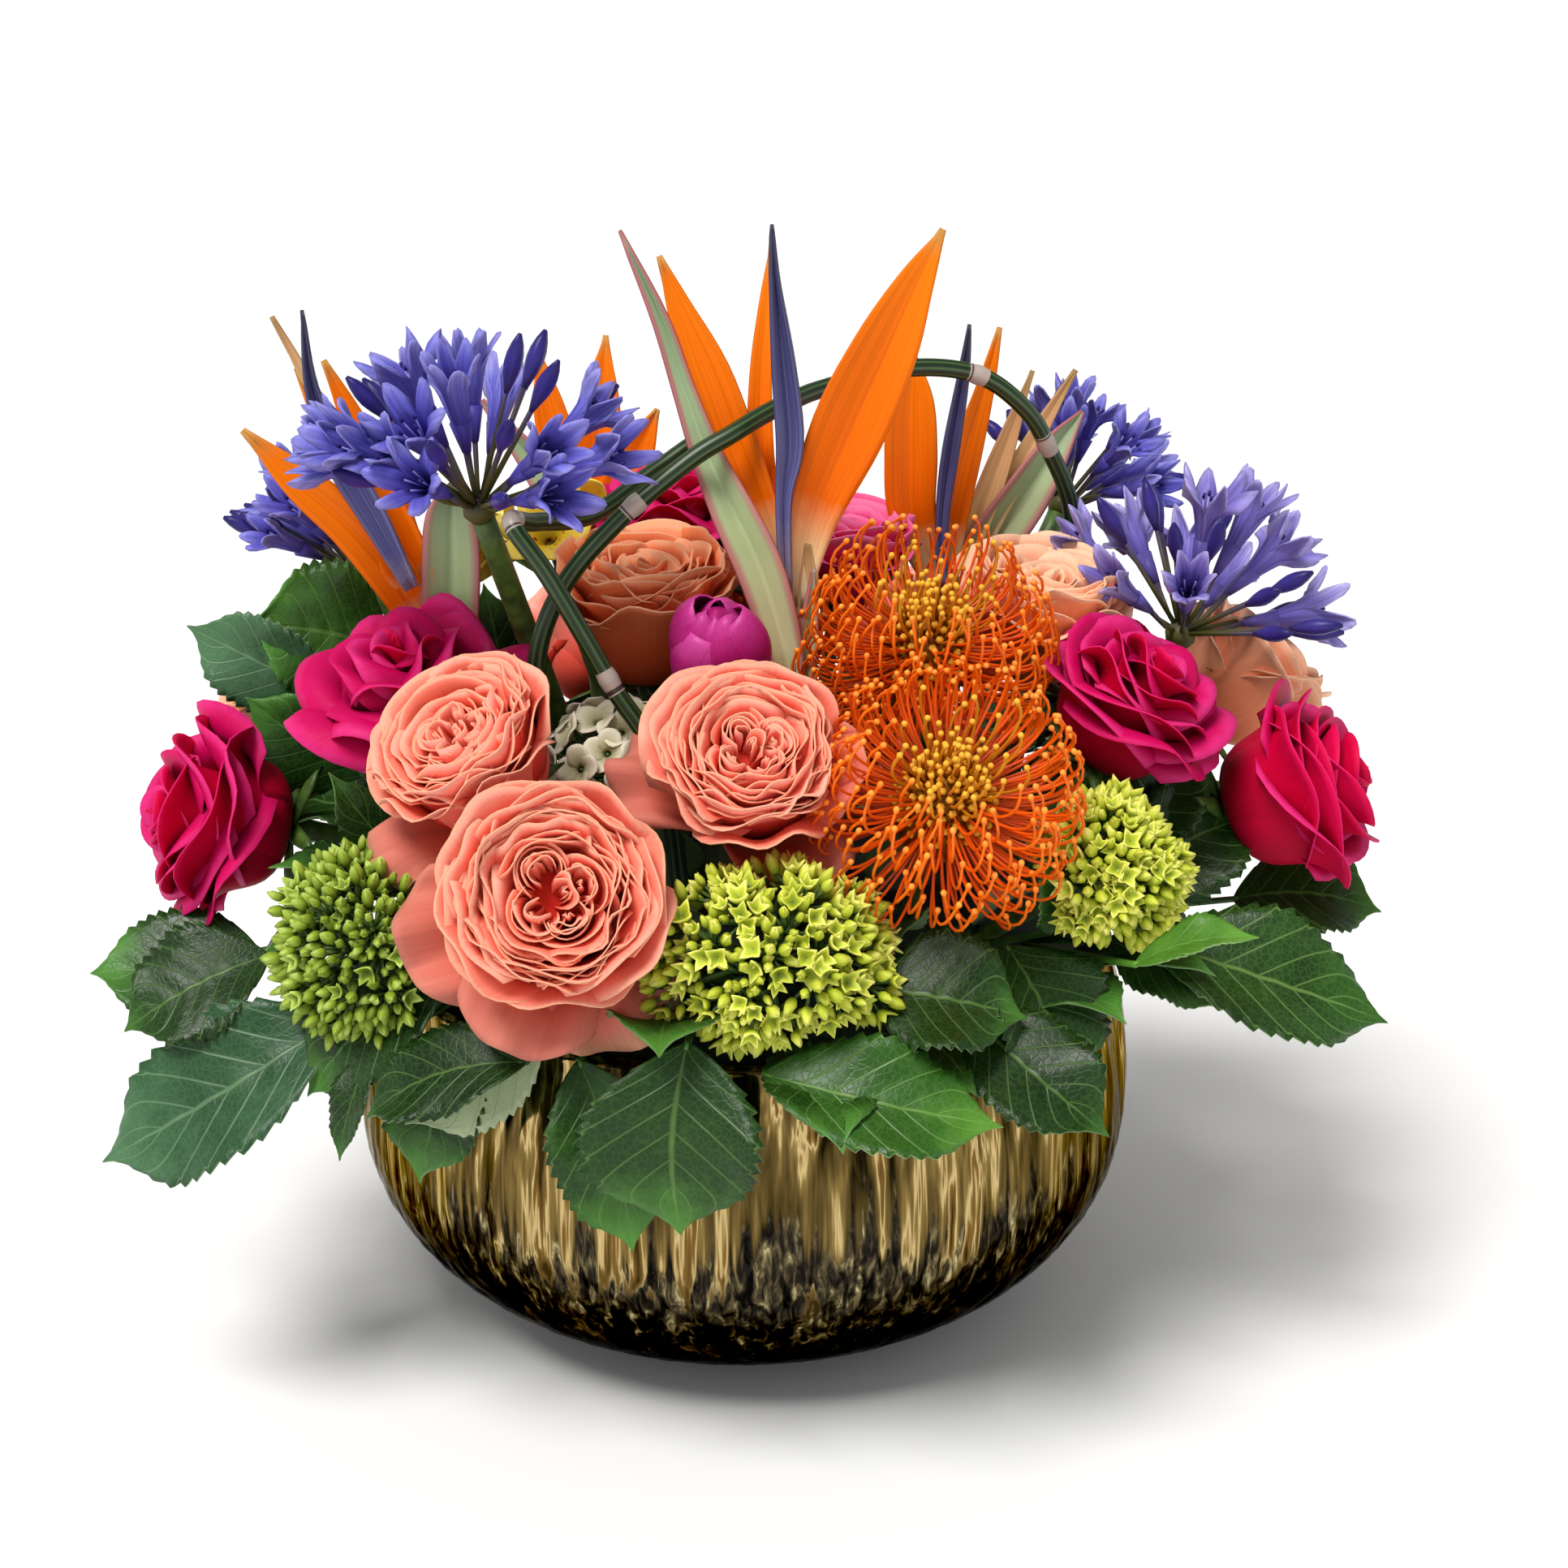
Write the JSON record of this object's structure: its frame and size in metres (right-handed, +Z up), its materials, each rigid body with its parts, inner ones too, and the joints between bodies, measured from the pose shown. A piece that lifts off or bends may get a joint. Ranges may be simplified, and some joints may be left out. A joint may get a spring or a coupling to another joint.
{
  "type": "floral table centerpiece",
  "caption": "Low all-round arrangement of cut flowers and leaves in foam, in a squat mirror-gold bowl, with birds of paradise, agapanthus and a bent horsetail arch standing tall.",
  "frame": {"origin": "middle of the bowl's flat base, on the bowl's own axis", "axes": "+Z up out of the bowl, -Y towards the viewer (the dressed front), +X to the viewer's right"},
  "size_m": [0.4073, 0.317, 0.3531],
  "materials": {
    "bowl": "mirror-gilded glass, gold above and smoked bronze below, with soft vertical ripples",
    "floral_foam": "wet dark green phenolic foam, matt and fine-grained",
    "hot_pink_rose": "velvety crimson-pink petals on a green stem",
    "pink_spray_rose": "ruffled magenta-pink petals on a green stem",
    "coral_rose": "silky coral petals with pale pink rims on a green stem",
    "peach_rose": "silky peach petals on a green stem",
    "magenta_bud": "satin purple-magenta bud petals on a green stem",
    "green_hydrangea": "waxy lime-green buds and cups on a green stem",
    "cream_hydrangea": "papery cream florets on a green stem",
    "pincushion": "waxy orange styles over a golden dome on a green stem",
    "yellow_orchid": "waxy yellow petals with red spots on a green stem",
    "agapanthus": "satin violet-blue trumpets on olive pedicels and a thick green stem",
    "bird_of_paradise": "satin orange sepals, indigo tongue and a pale green bract with a pink edge",
    "horsetail": "ribbed dark green stem with pale grey-pink node bands",
    "leaf": "semi-gloss serrated green leaf with pale veins"
  },
  "bodies": {
    "root": {"agapanthus_back_left": "agapanthus", "agapanthus_back_right": "agapanthus", "agapanthus_left": "agapanthus", "agapanthus_right": "agapanthus", "bird_of_paradise_back": "bird_of_paradise", "bird_of_paradise_centre": "bird_of_paradise", "bird_of_paradise_left": "bird_of_paradise", "bird_of_paradise_right": "bird_of_paradise", "bowl": "bowl", "coral_rose_back_left": "coral_rose", "coral_rose_back_right": "coral_rose", "coral_rose_front": "coral_rose", "coral_rose_left": "coral_rose", "coral_rose_middle": "coral_rose", "cream_hydrangea": "cream_hydrangea", "floral_foam": "floral_foam", "green_hydrangea_back": "green_hydrangea", "green_hydrangea_back_left": "green_hydrangea", "green_hydrangea_back_right": "green_hydrangea", "green_hydrangea_front": "green_hydrangea", "green_hydrangea_left": "green_hydrangea", "green_hydrangea_right": "green_hydrangea", "horsetail_arch": "horsetail", "horsetail_fold": "horsetail", "hot_pink_rose_back": "hot_pink_rose", "hot_pink_rose_back_left": "hot_pink_rose", "hot_pink_rose_back_right": "hot_pink_rose", "hot_pink_rose_far_left": "hot_pink_rose", "hot_pink_rose_far_right": "hot_pink_rose", "hot_pink_rose_left": "hot_pink_rose", "hot_pink_rose_right": "hot_pink_rose", "leaf_back_centre": "leaf", "leaf_back_left": "leaf", "leaf_back_left_light": "leaf", "leaf_back_left_lower": "leaf", "leaf_back_left_rounded": "leaf", "leaf_back_right": "leaf", "leaf_far_right": "leaf", "leaf_far_right_back": "leaf", "leaf_front_centre": "leaf", "leaf_front_left": "leaf", "leaf_front_left_fold": "leaf", "leaf_front_right_curl": "leaf", "leaf_front_under": "leaf", "leaf_left_low": "leaf", "leaf_left_middle": "leaf", "leaf_left_upper": "leaf", "leaf_right_hanging": "leaf", "leaf_right_light": "leaf", "leaf_right_middle": "leaf", "magenta_bud": "magenta_bud", "peach_rose_far_left": "peach_rose", "peach_rose_far_right": "peach_rose", "peach_rose_left": "peach_rose", "peach_rose_right": "peach_rose", "pincushion_back": "pincushion", "pincushion_front": "pincushion", "pincushion_upper": "pincushion", "pink_spray_rose": "pink_spray_rose", "yellow_orchid": "yellow_orchid"}
  },
  "joints": []
}
